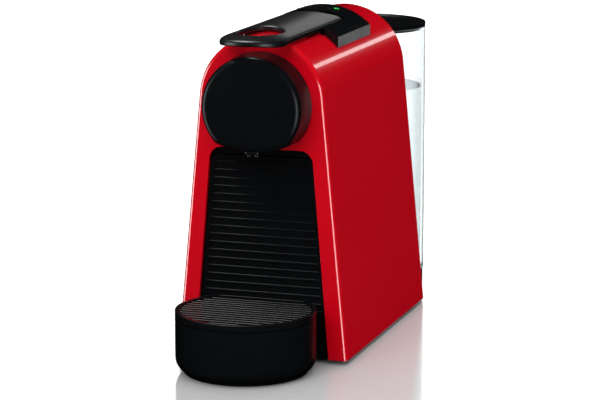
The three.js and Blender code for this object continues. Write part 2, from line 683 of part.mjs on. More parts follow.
function piece(name, part, color, roughness, metalness = 0) {
  const mesh = part.getMesh();
  const geometry = new THREE.BufferGeometry();
  geometry.setAttribute('position', new THREE.BufferAttribute(new Float32Array(mesh.vertProperties), 3));
  geometry.setIndex(new THREE.BufferAttribute(new Uint32Array(mesh.triVerts), 1));
  geometry.translate(0, -centreY, 0);
  const flat = geometry.toNonIndexed();
  flat.computeVertexNormals();
  const result = new THREE.Mesh(flat, new THREE.MeshStandardMaterial({ color, roughness, metalness }));
  result.name = name;
  machine.add(result);
}

const red = 0xa80012;
const black = 0x101114;
const grey = 0x3a3c40;
const pale = 0xd8d4c8;
const rubber = 0x1c1c1c;
const steel = 0xb8bcc0;
const clear = 0xcfe3e6;

piece('body_shell', bodyShell(), red, 0.25);
piece('base_plate', basePlate(), black, 0.6);
piece('rear_cover', rearCover(), black, 0.5);
piece('bay_wall', bayWall(), grey, 0.6);
piece('cord_gland', cordGland(), rubber, 0.8);
piece('foot_front_left', foot(-46, 18), rubber, 0.9);
piece('foot_front_right', foot(46, 18), rubber, 0.9);
piece('foot_rear_left', foot(-30, tankCentreY + 18), rubber, 0.9);
piece('foot_rear_right', foot(30, tankCentreY + 18), rubber, 0.9);

piece('head_frame', headFrame(), black, 0.5);
piece('head_cover', headCover(), black, 0.3);
piece('coffee_channel', coffeeChannel(), grey, 0.5);
piece('coffee_outlet', coffeeOutlet(), black, 0.3);

piece('top_housing', topHousing(), black, 0.35);
piece('lever', lever(), black, 0.12);
piece('lever_shaft', leverShaft(), steel, 0.3, 1);
piece('espresso_button', button().mirror([1, 0, 0]), black, 0.3);
piece('lungo_button', button(), black, 0.3);
piece('button_board', buttonBoard(), 0x1f5a34, 0.6);
piece('capsule_chute', capsuleChute(), black, 0.5);

piece('brew_frame', brewFrame(), grey, 0.5);
piece('extraction_plate', extractionPlate(), steel, 0.35, 1);
piece('capsule_cage', capsuleCage(), grey, 0.5);
piece('cage_seal', cageSeal(), 0x8a4a3a, 0.8);
piece('injection_plate', injectionPlate(), steel, 0.35, 1);
piece('inlet_block', inletBlock(), pale, 0.5);

piece('heater', heater(), steel, 0.5, 1);
piece('thermostat', thermostat(), steel, 0.4, 1);
piece('thermal_fuse', thermalFuse(), pale, 0.6);
piece('pump_body', pumpBody(), pale, 0.5);
piece('pump_coil', pumpCoil(), black, 0.6);
piece('pump_plunger', pumpPlunger(), steel, 0.3, 1);
piece('pump_mount_front', pumpMount(pumpFront + 2), rubber, 0.9);
piece('pump_mount_rear', pumpMount(pumpRear - 7), rubber, 0.9);
piece('flow_meter', flowMeter(), pale, 0.4);
piece('flow_rotor', flowRotor(), pale, 0.5);
piece('supply_hose', supplyHose(), clear, 0.4);
piece('meter_hose', meterHose(), clear, 0.4);
piece('heater_hose', heaterHose(), clear, 0.4);
piece('brew_hose', brewHose(), clear, 0.4);
piece('control_board', controlBoard(), 0x1f5a34, 0.6);
piece('relay', relay(), black, 0.5);
piece('capacitor', capacitor(), 0x243a6a, 0.4);

piece('drip_base', dripBase(), black, 0.4);
piece('drip_tray', dripTray(), grey, 0.5);
piece('drip_grid', dripGrid(), black, 0.35);
piece('front_panel', frontPanel(), black, 0.4);
piece('capsule_container', capsuleContainer(), black, 0.4);

piece('water_tank', waterTank(), clear, 0.08);
piece('tank_lid', tankLid(), black, 0.3);
piece('tank_connector', tankConnector(), grey, 0.5);
piece('tank_seal', tankSeal(), rubber, 0.8);
piece('tank_valve', tankValve(), pale, 0.5);

export default machine;
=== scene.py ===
import math

import bmesh
import bpy
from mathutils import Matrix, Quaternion, Vector


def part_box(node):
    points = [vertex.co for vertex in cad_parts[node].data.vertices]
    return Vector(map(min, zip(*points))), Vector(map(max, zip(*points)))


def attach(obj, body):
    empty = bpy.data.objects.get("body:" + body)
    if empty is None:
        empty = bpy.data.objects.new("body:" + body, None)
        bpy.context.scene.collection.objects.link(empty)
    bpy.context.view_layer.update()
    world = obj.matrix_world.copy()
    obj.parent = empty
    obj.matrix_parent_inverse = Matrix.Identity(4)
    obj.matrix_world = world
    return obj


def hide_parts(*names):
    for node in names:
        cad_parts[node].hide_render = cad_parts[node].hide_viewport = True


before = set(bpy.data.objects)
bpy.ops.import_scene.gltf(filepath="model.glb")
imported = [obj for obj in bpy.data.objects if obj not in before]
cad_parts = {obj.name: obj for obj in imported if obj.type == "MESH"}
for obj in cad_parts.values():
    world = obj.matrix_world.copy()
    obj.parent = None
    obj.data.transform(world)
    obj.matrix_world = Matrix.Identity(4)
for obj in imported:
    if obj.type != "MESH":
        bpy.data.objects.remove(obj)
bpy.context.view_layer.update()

MM = 0.001
GAP = 0.3 * MM    # between two visible pieces that don't touch
HAIR = 0.01 * MM  # places closer than this count as the same
PAST = 10 * MM    # how far a cutter runs past what it cuts
WIDE = 100 * MM   # half the width of a cutter that spans the whole machine
ABOVE = 250 * MM  # a height above the whole machine

# ---------------------------------------------------------------- places taken from the frame
shell_low, shell_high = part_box("body_shell")
head_low, head_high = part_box("head_cover")
lever_low, lever_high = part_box("lever")
saddle_low, saddle_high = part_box("top_housing")
cup_low, cup_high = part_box("drip_base")
grid_low, grid_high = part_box("drip_grid")
panel_low, panel_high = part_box("front_panel")
tank_low, tank_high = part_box("water_tank")
lid_low, lid_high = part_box("tank_lid")
hinge_low, hinge_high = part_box("lever_shaft")
outlet_low, outlet_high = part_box("coffee_outlet")

FRONT, REAR = shell_low.y, shell_high.y

# body
WALL = 2.4 * MM
ARCH_RADIUS = 39.8 * MM
ARCH_CENTRE = shell_high.z - ARCH_RADIUS
ARCH_END = math.radians(5)  # how far above its centre's level the round top stops
SIDE_TILT = math.atan(0.095)
SHELL_ROUND = 2.6 * MM
OPENING_TOP = ARCH_CENTRE - 29 * MM
OPENING_HALF, OPENING_TAPER = 43.4 * MM, 0.0835
OPENING_ROUND = 7.5 * MM
CHUTE_HALF = 19.2 * MM
CHUTE_FRONT, CHUTE_REAR = FRONT + 33 * MM, FRONT + 62 * MM

# head
HEAD_RADIUS = (head_high.x - head_low.x) / 2
HEAD_CENTRE = head_high.z - HEAD_RADIUS
HEAD_DRAFT = 1.3 * MM
HEAD_ROUND = 3.6 * MM
HEAD_WALL = 2 * MM
HEAD_HOLE = 22 * MM
CHIN_RADIUS = 58 * MM
CHIN_CENTRE = HEAD_CENTRE + 31.7 * MM
TIP_X, TIP_RADIUS, TIP_BORE = 2.4 * MM, 1.15 * MM, 0.65 * MM

# saddle, lever and buttons
SADDLE_RADIUS = saddle_high.z - ARCH_CENTRE
LEVER_HALF = 21 * MM
LEVER_SLOT = LEVER_HALF + 0.4 * MM
LEVER_CROWN = 60 * MM
LEVER_THICK = 3.4 * MM
LEVER_SWEEP = 27.5 * MM
NOSE_STRETCH, NOSE_START = 1.323, FRONT - 2 * MM
FINGER_HALF, FINGER_REACH = 13.5 * MM, 18.4 * MM  # the lever's oval hole
HINGE_Y = (hinge_low.y + hinge_high.y) / 2
HINGE_Z = (hinge_low.z + hinge_high.z) / 2
SHAFT_BORE = 2.56 * MM
ARM_INNER, ARM_OUTER = 16.8 * MM, 20.6 * MM
CRANK, CRANK_ANGLE = 12 * MM, math.radians(-82)
PIN_RADIUS, PIN_END = 2 * MM, 25.9 * MM
BUTTON_X, BUTTON_RADIUS = 10 * MM, 5.2 * MM
BUTTON_Y = sum(corner.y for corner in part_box("lungo_button")) / 2
BUTTON_LEAN = math.asin(BUTTON_X / SADDLE_RADIUS)
BUTTON_TOP = SADDLE_RADIUS + 0.05 * MM

# drip unit
TRAY_RADIUS = (cup_high.x - cup_low.x) / 2
TRAY_CENTRE = cup_low.y + TRAY_RADIUS
CUP_REAR = grid_high.y
CUP_FOOT, CUP_WAIST, CUP_TUCK = 1.8 * MM, 9.8 * MM, 5 * MM
DECK_THICK = 2.2 * MM
BAR_WIDTH = 2.2 * MM
RIB_PITCH = 5 * MM

# tank
TANK_RADIUS = (tank_high.x - tank_low.x) / 2
TANK_CENTRE = tank_high.y - TANK_RADIUS
TANK_WALL = 2.2 * MM
WATER_LEVEL = 140 * MM


def opening_half(z):
    """Half the width of the cup opening in the shell at height z."""
    return OPENING_HALF - OPENING_TAPER * z


# ---------------------------------------------------------------- modelling
def focus(piece):
    if bpy.context.object and bpy.context.object.mode != "OBJECT":
        bpy.ops.object.mode_set(mode="OBJECT")
    bpy.ops.object.select_all(action="DESELECT")
    piece.select_set(True)
    bpy.context.view_layer.objects.active = piece


def start(name, primitive, **settings):
    """Adds a primitive at its size and place, and puts that place in its mesh."""
    bpy.ops.object.select_all(action="DESELECT")
    primitive(**settings)
    piece = bpy.context.object
    piece.name = name
    bpy.ops.object.transform_apply(location=True, rotation=True, scale=True)
    return piece


def pick(piece, kind, test):
    """In edit mode, selects what has every corner pass the test."""
    if piece.mode != "EDIT":
        focus(piece)
        bpy.ops.object.mode_set(mode="EDIT")
    bpy.ops.mesh.select_mode(type=kind)
    bpy.ops.mesh.select_all(action="DESELECT")
    mesh = bmesh.from_edit_mesh(piece.data)
    for part in {"VERT": mesh.verts, "EDGE": mesh.edges, "FACE": mesh.faces}[kind]:
        corners = [part] if kind == "VERT" else part.verts
        if all(test(corner.co) for corner in corners):
            part.select_set(True)
    mesh.select_flush_mode()
    bmesh.update_edit_mesh(piece.data)


def leave(piece):
    """Back to object mode, with every face turned outwards."""
    bpy.ops.mesh.select_all(action="SELECT")
    bpy.ops.mesh.normals_make_consistent(inside=False)
    bpy.ops.object.mode_set(mode="OBJECT")
    return piece


def box(name, low, high):
    centre = (Vector(low) + Vector(high)) / 2
    piece = start(name, bpy.ops.mesh.primitive_cube_add, size=1, location=centre)
    focus(piece)
    bpy.ops.object.mode_set(mode="EDIT")
    bpy.ops.mesh.select_all(action="SELECT")
    bpy.ops.transform.resize(value=tuple(Vector(high) - Vector(low)))
    return leave(piece)


def rod(name, radius, low, high, sides=128):
    """A cylinder between two points."""
    low, high = Vector(low), Vector(high)
    return start(
        name, bpy.ops.mesh.primitive_cylinder_add, vertices=sides, radius=radius,
        depth=(high - low).length, location=(low + high) / 2,
        rotation=(high - low).to_track_quat("Z", "Y").to_euler(),
    )


def rod_x(name, radius, x0, x1, y, z, sides=128):
    return rod(name, radius, (x0, y, z), (x1, y, z), sides=sides)


def rod_y(name, radius, y0, y1, z, sides=128):
    return rod(name, radius, (0, y0, z), (0, y1, z), sides=sides)


def rod_z(name, radius, y, z0, z1, sides=128, x=0):
    return rod(name, radius, (x, y, z0), (x, y, z1), sides=sides)


def carve(piece, cutter, operation="DIFFERENCE"):
    cut = piece.modifiers.new("cut", "BOOLEAN")
    cut.operation, cut.object, cut.solver = operation, cutter, "EXACT"
    focus(piece)
    bpy.ops.object.modifier_apply(modifier=cut.name)
    bpy.data.objects.remove(cutter)
    return piece


def weld(piece, within=HAIR):
    focus(piece)
    bpy.ops.object.mode_set(mode="EDIT")
    bpy.ops.mesh.select_all(action="SELECT")
    bpy.ops.mesh.remove_doubles(threshold=within)
    return leave(piece)


def soften(piece, width, segments=3, sharper_than=40, clamp=True):
    """Rounds the sharp edges and smooths the rest."""
    if width:
        edge = piece.modifiers.new("edge", "BEVEL")
        edge.width, edge.segments = width, segments
        edge.limit_method, edge.angle_limit = "ANGLE", math.radians(sharper_than)
        edge.use_clamp_overlap = clamp
        focus(piece)
        bpy.ops.object.modifier_apply(modifier=edge.name)
    focus(piece)
    bpy.ops.object.shade_smooth_by_angle(angle=math.radians(32))
    even = piece.modifiers.new("even", "WEIGHTED_NORMAL")
    even.keep_sharp, even.weight = True, 60
    bpy.ops.object.modifier_apply(modifier=even.name)
    return piece


def join(name, pieces):
    focus(pieces[0])
    for piece in pieces[1:]:
        piece.select_set(True)
    bpy.ops.object.join()
    pieces[0].name = name
    return pieces[0]


def arch_block(name, inset, low, front, rear):
    """The body's outline, a round top on two flared sides, drawn out from front to rear."""
    radius = ARCH_RADIUS - inset
    piece = start(
        name, bpy.ops.mesh.primitive_circle_add, vertices=144, radius=radius,
        location=(0, front, ARCH_CENTRE), rotation=(math.pi / 2, 0, 0),
    )
    foot = ARCH_CENTRE + radius * math.sin(ARCH_END)
    pick(piece, "VERT", lambda v: v.z < foot - HAIR)
    bpy.ops.mesh.delete(type="VERT")
    pick(piece, "VERT", lambda v: v.z < foot + HAIR)
    bpy.ops.mesh.extrude_vertices_move(TRANSFORM_OT_translate={"value": (0, 0, low - foot)})
    half = (radius - (low - ARCH_CENTRE) * math.sin(SIDE_TILT)) / math.cos(SIDE_TILT)
    bpy.ops.transform.resize(value=(half / (radius * math.cos(ARCH_END)), 1, 1))
    bpy.ops.mesh.select_all(action="SELECT")
    bpy.ops.mesh.edge_face_add()
    bpy.ops.mesh.extrude_region_move(TRANSFORM_OT_translate={"value": (0, rear - front, 0)})
    return leave(piece)


def horseshoe_block(name, radius, centre, rear, low, high, nose):
    """A half oval front end with two straight sides, drawn up from low to high."""
    place = (0, centre, low)
    piece = start(name, bpy.ops.mesh.primitive_circle_add, vertices=72, radius=radius, location=place)
    focus(piece)
    bpy.ops.object.mode_set(mode="EDIT")
    bpy.ops.mesh.select_all(action="SELECT")
    bpy.ops.transform.resize(value=(1, nose, 1), center_override=place)
    pick(piece, "VERT", lambda v: v.y > centre + HAIR)
    bpy.ops.mesh.delete(type="VERT")
    pick(piece, "VERT", lambda v: abs(v.y - centre) < HAIR)
    bpy.ops.mesh.extrude_vertices_move(TRANSFORM_OT_translate={"value": (0, rear - centre, 0)})
    bpy.ops.mesh.select_all(action="SELECT")
    bpy.ops.mesh.edge_face_add()
    bpy.ops.mesh.extrude_region_move(TRANSFORM_OT_translate={"value": (0, 0, high - low)})
    return leave(piece)


def cut_disc(name, radius, front, low, high):
    """A disc about the tank's centre with its front cut flat, from low to high."""
    disc = rod_z(name, radius, TANK_CENTRE, low, high, sides=192)
    return carve(disc, box("front", (-WIDE, -2 * WIDE, low - PAST), (WIDE, front, high + PAST)))


def tapered_block(name, inset, low, top, front, rear, corner):
    """A block with the cup opening's sloping sides and rounded top corners."""
    half_low, half_top = opening_half(low) - inset, opening_half(top) - inset
    piece = box(name, (-half_low, front, low), (half_low, rear, top))
    middle = (low + top) / 2
    pick(piece, "VERT", lambda v: v.z > middle)
    bpy.ops.transform.resize(value=(half_top / half_low, 1, 1))
    mesh = bmesh.from_edit_mesh(piece.data)
    bpy.ops.mesh.select_mode(type="EDGE")
    bpy.ops.mesh.select_all(action="DESELECT")
    for edge in mesh.edges:
        a, b = edge.verts
        if a.co.z > middle and b.co.z > middle and abs(a.co.x - b.co.x) < HAIR:
            edge.select_set(True)
    bmesh.update_edit_mesh(piece.data)
    bpy.ops.mesh.bevel(offset=corner, segments=10, affect="EDGES")
    return leave(piece)


# ---------------------------------------------------------------- finishes
class Wire:
    """A socket that takes part in sums."""

    def __init__(self, finish, socket):
        self.finish, self.socket = finish, socket

    def _sum(self, operation, other):
        return self.finish.node("ShaderNodeMath", {"operation": operation}, {0: self, 1: other})

    def __add__(self, other): return self._sum("ADD", other)
    def __mul__(self, other): return self._sum("MULTIPLY", other)
    def __lt__(self, other): return self._sum("LESS_THAN", other)


class Finish:
    """One procedural material on object coordinates."""

    def __init__(self, name, color, roughness, **constants):
        self.material = bpy.data.materials.new(name)
        self.material.use_nodes = True
        self.tree = self.material.node_tree
        self.tree.nodes.clear()
        self.shader = self.tree.nodes.new("ShaderNodeBsdfPrincipled")
        output = self.tree.nodes.new("ShaderNodeOutputMaterial")
        self.tree.links.new(self.shader.outputs[0], output.inputs[0])
        self.shader.inputs["Base Color"].default_value = (*color, 1)
        self.shader.inputs["Roughness"].default_value = roughness
        for socket, value in constants.items():
            self.shader.inputs[socket.replace("_", " ")].default_value = value
        self.place = self.node("ShaderNodeTexCoord", {}, {}, "Object")

    def node(self, kind, settings, sockets, out=0):
        made = self.tree.nodes.new(kind)
        for key, value in settings.items():
            setattr(made, key, value)
        for key, value in sockets.items():
            if isinstance(value, Wire):
                self.tree.links.new(value.socket, made.inputs[key])
            else:
                made.inputs[key].default_value = value
        return Wire(self, made.outputs[out])

    def feed(self, socket, value):
        self.tree.links.new(value.socket, self.shader.inputs[socket])
        return self

    def noise(self, scale, detail=2, stretch=(1, 1, 1)):
        place = self.node("ShaderNodeMapping", {}, {"Vector": self.place, "Scale": stretch})
        return self.node("ShaderNodeTexNoise", {}, {"Vector": place, "Scale": scale, "Detail": detail})

    def blend(self, amount, first, second):
        """A mix of two colours; 0, 6, 7 and 2 are the mix node's sockets for colours."""
        colors = {0: amount, 6: (*first, 1), 7: (*second, 1)}
        return self.node("ShaderNodeMix", {"data_type": "RGBA"}, colors, 2)

    def bump(self, height, strength, distance):
        shape = {"Height": height, "Strength": strength, "Distance": distance}
        return self.feed("Normal", self.node("ShaderNodeBump", {}, shape))


def moulded(name, color, roughness, texture, depth, tone=0.12, uneven=0.5, **constants):
    """Moulded plastic: a fine skin, a slow change of tone and a little uneven gloss."""
    finish = Finish(name, color, roughness, **constants)
    lighter = tuple(min(1, c * (1 + tone) + 0.002) for c in color)
    finish.feed("Base Color", finish.blend(finish.noise(18, 3), color, lighter))
    finish.feed("Roughness", finish.noise(90, 4) * (roughness * uneven) + roughness * (1 - uneven / 2))
    finish.bump(finish.noise(texture, 3), 0.25, depth)
    return finish.material


def metal(name, color, roughness, stretch, **constants):
    finish = Finish(name, color, roughness, Metallic=1.0, **constants)
    grain = finish.noise(420, 4, stretch)
    dark = tuple(c * 0.8 for c in color)
    finish.feed("Base Color", finish.blend(grain, dark, color))
    finish.feed("Roughness", grain * 0.2 + (roughness - 0.1))
    finish.bump(grain, 0.2, 0.05 * MM)
    return finish.material


def circuit(name):
    """Green board with paler tracks."""
    ground, track = (0.012, 0.12, 0.04), (0.05, 0.26, 0.1)
    finish = Finish(name, ground, 0.35)
    cells = finish.node(
        "ShaderNodeTexVoronoi", {"feature": "DISTANCE_TO_EDGE", "distance": "EUCLIDEAN"},
        {"Vector": finish.place, "Scale": 190},
    )
    tracks = cells < 0.06
    finish.feed("Base Color", finish.blend(tracks, ground, track))
    finish.bump(tracks, 0.3, 0.08 * MM)
    return finish.material


def clear(name, color, edge, ior, roughness=0.02):
    """Clear moulded plastic or water, darker towards its edges, with a moulding's faint waves."""
    finish = Finish(name, color, roughness, Transmission_Weight=1.0, IOR=ior)
    slant = finish.node("ShaderNodeLayerWeight", {}, {"Blend": 0.5}, "Facing")
    finish.feed("Base Color", finish.blend(slant * slant * slant, color, edge))
    finish.feed("Roughness", finish.noise(30, 2) * 0.03 + roughness)
    finish.bump(finish.noise(14, 2), 0.08, 0.4 * MM)
    return finish.material


RED = moulded(
    "red gloss shell", (0.58, 0.0, 0.008), 0.22, 900, 0.006 * MM, 0.03, 0.2,
    Coat_Weight=0.9, Coat_Roughness=0.05, Specular_IOR_Level=0.1,
)
GLOSS_BLACK = moulded(
    "black gloss lever", (0.002, 0.0026, 0.0042), 0.38, 700, 0.002 * MM, 0.12, 0.1,
    Coat_Weight=0.15, Coat_Roughness=0.25, Specular_IOR_Level=0.5,
)
SATIN_BLACK = moulded(
    "black satin moulding", (0.0018, 0.0026, 0.0034), 0.34, 2600, 0.01 * MM, Specular_IOR_Level=0.3,
)
HEAD_BLACK = moulded(
    "black head cover", (0.0014, 0.0022, 0.0034), 0.3, 2400, 0.006 * MM, 0.12, 0.1, Specular_IOR_Level=0.25,
)
MATT_GREY = moulded("dark works plastic", (0.035, 0.037, 0.042), 0.5, 1800, 0.03 * MM)
NYLON = moulded("cream nylon", (0.6, 0.56, 0.46), 0.45, 1500, 0.03 * MM)
RUBBER = moulded("black rubber", (0.012, 0.012, 0.012), 0.8, 2200, 0.05 * MM)
SILICONE = moulded("red silicone seal", (0.28, 0.06, 0.03), 0.55, 1400, 0.04 * MM)
STEEL = metal("brushed steel", (0.6, 0.61, 0.62), 0.3, (1, 12, 12))
CASTING = metal("cast aluminium", (0.62, 0.62, 0.63), 0.5, (1, 1, 1))
BOARD = circuit("circuit board")
CAN = moulded("blue capacitor sleeve", (0.02, 0.05, 0.2), 0.25, 900, 0.02 * MM)
HOSE = moulded("milky hose", (0.62, 0.66, 0.66), 0.35, 900, 0.02 * MM, Subsurface_Weight=0.1)
TANK = clear("clear tank plastic", (0.95, 0.975, 0.975), (0.3, 0.48, 0.48), 1.46)
WATER = clear("tank water", (0.86, 0.87, 0.885), (0.7, 0.76, 0.78), 1.06, 0.0)
sign = Finish(
    "green lit sign", (0.02, 0.3, 0.04), 0.4, Emission_Color=(0.05, 0.75, 0.12, 1), Emission_Strength=0.6,
)
SIGN = sign.feed("Roughness", sign.noise(300) * 0.2 + 0.3).material


def paint(piece, material):
    piece.data.materials.clear()
    piece.data.materials.append(material)
    return piece


def mount(piece, material, body, slot, *nodes):
    """Finishes a piece that rides on a body and stands in for CAD nodes."""
    paint(piece, material)
    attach(piece, body)
    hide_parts(*nodes)
    return piece


for node, material in {
    "base_plate": SATIN_BLACK, "rear_cover": SATIN_BLACK, "bay_wall": MATT_GREY, "cord_gland": RUBBER,
    "foot_front_left": RUBBER, "foot_front_right": RUBBER,
    "foot_rear_left": RUBBER, "foot_rear_right": RUBBER,
    "head_frame": SATIN_BLACK, "coffee_channel": MATT_GREY, "lever_shaft": STEEL, "button_board": BOARD,
    "capsule_chute": SATIN_BLACK, "brew_frame": MATT_GREY,
    "extraction_plate": STEEL, "capsule_cage": MATT_GREY,
    "cage_seal": SILICONE, "injection_plate": STEEL, "inlet_block": NYLON, "heater": CASTING,
    "thermostat": STEEL, "thermal_fuse": NYLON, "pump_body": NYLON, "pump_coil": MATT_GREY,
    "pump_plunger": STEEL, "pump_mount_front": RUBBER, "pump_mount_rear": RUBBER, "flow_meter": NYLON,
    "flow_rotor": NYLON, "supply_hose": HOSE, "meter_hose": HOSE, "heater_hose": HOSE, "brew_hose": HOSE,
    "control_board": BOARD, "relay": MATT_GREY, "capacitor": CAN, "drip_tray": MATT_GREY,
    "capsule_container": SATIN_BLACK, "tank_connector": MATT_GREY, "tank_seal": RUBBER, "tank_valve": NYLON,
}.items():
    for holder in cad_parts[node].material_slots:
        holder.material = material


# ---------------------------------------------------------------- red shell
def lever_well(name):
    """The hollow in the shell and saddle that the lever's rear edge swings through."""
    drum = rod_x(name, LEVER_SWEEP, -LEVER_SLOT, LEVER_SLOT, HINGE_Y, HINGE_Z, sides=180)
    near = (-LEVER_SLOT, HINGE_Y, HINGE_Z + 15 * MM)
    far = (LEVER_SLOT, HINGE_Y + 17.7 * MM, HINGE_Z + 40 * MM)
    return carve(drum, box("well lid", near, far), "UNION")


def button_rod(name, radius, low, high, side):
    """A rod square to the arch, at a button's place, between two distances from the arch's centre."""
    way = Vector((side * math.sin(BUTTON_LEAN), 0, math.cos(BUTTON_LEAN)))
    foot = Vector((0, BUTTON_Y, ARCH_CENTRE))
    return rod(name, radius, foot + way * low, foot + way * high, sides=96)


def carve_button_holes(piece):
    for side in (-1, 1):
        carve(piece, button_rod("button hole", BUTTON_RADIUS + GAP, 20 * MM, 60 * MM, side))


def red_shell():
    shell = arch_block("red_shell", 0, shell_low.z, FRONT, REAR)
    for end in (FRONT, REAR):
        pick(shell, "EDGE", lambda v: abs(v.y - end) < HAIR)
        mesh = bmesh.from_edit_mesh(shell.data)
        for edge in mesh.edges:
            if all(v.co.z < shell_low.z + HAIR for v in edge.verts):
                edge.select_set(False)
        bmesh.update_edit_mesh(shell.data)
        bpy.ops.mesh.bevel(offset=SHELL_ROUND, segments=7, affect="EDGES", clamp_overlap=True)
    leave(shell)
    carve(shell, arch_block("inside", WALL, -PAST, FRONT + WALL, REAR + PAST))
    near, far = FRONT - PAST, FRONT + 12 * MM
    carve(shell, tapered_block("cup opening", 0, -5 * MM, OPENING_TOP, near, far, OPENING_ROUND))
    carve(shell, rod_y("head hole", HEAD_HOLE, FRONT - PAST, FRONT + PAST, HEAD_CENTRE))
    low, high = ARCH_CENTRE + 2 * PAST, shell_high.z + 2 * PAST
    carve(shell, box("chute hole", (-CHUTE_HALF, CHUTE_FRONT, low), (CHUTE_HALF, CHUTE_REAR, high)))
    carve(shell, box("arm hole", (-LEVER_SLOT, CHUTE_REAR - 1 * MM, low), (LEVER_SLOT, HINGE_Y, high)))
    carve(shell, lever_well("lever well"))
    carve_button_holes(shell)
    soften(weld(shell), 0.35 * MM, 2, 50)
    return mount(shell, RED, "machine", "red_shell", "body_shell")


# ---------------------------------------------------------------- head
def head_cover():
    back, front = head_high.y, head_low.y
    cover = rod_y("head_cover_disc", HEAD_RADIUS, back, front, HEAD_CENTRE, sides=160)
    face = HEAD_RADIUS - HEAD_DRAFT
    pick(cover, "VERT", lambda v: v.y < front + HAIR)
    bpy.ops.transform.resize(value=(face / HEAD_RADIUS,) * 3, center_override=(0, front, HEAD_CENTRE))
    leave(cover)
    chin = rod_y("chin", CHIN_RADIUS, back + PAST, front - PAST, CHIN_CENTRE, sides=360)
    carve(cover, chin, "INTERSECT")
    weld(cover)
    pick(cover, "EDGE", lambda v: v.y < front + HAIR)
    bpy.ops.mesh.bevel(offset=HEAD_ROUND, segments=10, affect="EDGES")
    leave(cover)
    inside = HEAD_RADIUS - HEAD_WALL
    hollow = rod_y("hollow", inside, back + 5 * MM, front + HEAD_WALL, HEAD_CENTRE, sides=160)
    pick(hollow, "VERT", lambda v: v.y < back - 5 * MM)
    bpy.ops.transform.resize(value=(0.95, 1, 0.95), center_override=(0, front, HEAD_CENTRE))
    leave(hollow)
    under = CHIN_RADIUS - HEAD_WALL
    chin = rod_y("inner chin", under, back + 2 * PAST, front - PAST, CHIN_CENTRE, sides=240)
    carve(hollow, chin, "INTERSECT")
    carve(cover, hollow)
    slot = box(
        "outlet slot", (outlet_low.x - GAP, outlet_low.y - GAP, outlet_low.z),
        (outlet_high.x + GAP, outlet_high.y + GAP, HEAD_CENTRE - 20 * MM),
    )
    carve(cover, slot)
    soften(weld(cover), 0.5 * MM, 3, 45)
    return mount(cover, HEAD_BLACK, "machine", "black_satin", "head_cover")


def coffee_outlet():
    low = outlet_low.z
    spout = box("outlet_spout", (outlet_low.x, outlet_low.y, low + 1 * MM), outlet_high)
    soften(spout, 1.4 * MM, 5, 40)
    centre = (outlet_low.y + outlet_high.y) / 2
    tips = []
    for x in (-TIP_X, TIP_X):
        tip = rod_z("tip", TIP_RADIUS, centre, low, low + 3 * MM, 32, x)
        carve(tip, rod_z("tip bore", TIP_BORE, centre, low - PAST, low + 2 * MM, 24, x))
        tips.append(soften(tip, 0.2 * MM, 2, 40))
    whole = join("outlet_spout", [spout, *tips])
    return mount(whole, GLOSS_BLACK, "machine", "black_gloss", "coffee_outlet")


# ---------------------------------------------------------------- saddle, lever, buttons
def saddle():
    front, rear = saddle_low.y, saddle_high.y
    arch = rod_y("saddle_housing", SADDLE_RADIUS, front, rear, ARCH_CENTRE, sides=360)
    carve(arch, rod_y("under", ARCH_RADIUS + GAP, front - PAST, rear + PAST, ARCH_CENTRE, sides=360))
    near = (saddle_low.x, front - PAST, ARCH_CENTRE + PAST)
    limits = box("limits", near, (saddle_high.x, rear + PAST, ABOVE))
    carve(arch, limits, "INTERSECT")
    near = (-LEVER_SLOT, front - PAST, ARCH_CENTRE)
    carve(arch, box("lever slot", near, (LEVER_SLOT, HINGE_Y, ABOVE)))
    carve(arch, lever_well("lever well"))
    carve_button_holes(arch)
    soften(weld(arch), 0.7 * MM, 4, 45)
    return mount(arch, SATIN_BLACK, "machine", "black_satin", "top_housing")


def lever_crown(inset):
    """What lies under the lever's skin: a crown along the body that domes down at the nose."""
    radius, centre = LEVER_CROWN - inset, lever_high.z - LEVER_CROWN
    body = rod_y("crown", radius, NOSE_START, lever_high.y + PAST, centre, sides=120)
    pick(body, "FACE", lambda v: v.y < NOSE_START + HAIR)
    wide, front = radius, NOSE_START
    for degrees in range(3, 33, 3):
        angle = math.radians(degrees)
        narrower = radius * math.cos(angle)
        further = NOSE_START - NOSE_STRETCH * radius * math.sin(angle)
        bpy.ops.mesh.extrude_region_move(TRANSFORM_OT_translate={"value": (0, further - front, 0)})
        scale = narrower / wide
        bpy.ops.transform.resize(value=(scale, 1, scale), center_override=(0, further, centre))
        wide, front = narrower, further
    return leave(body)


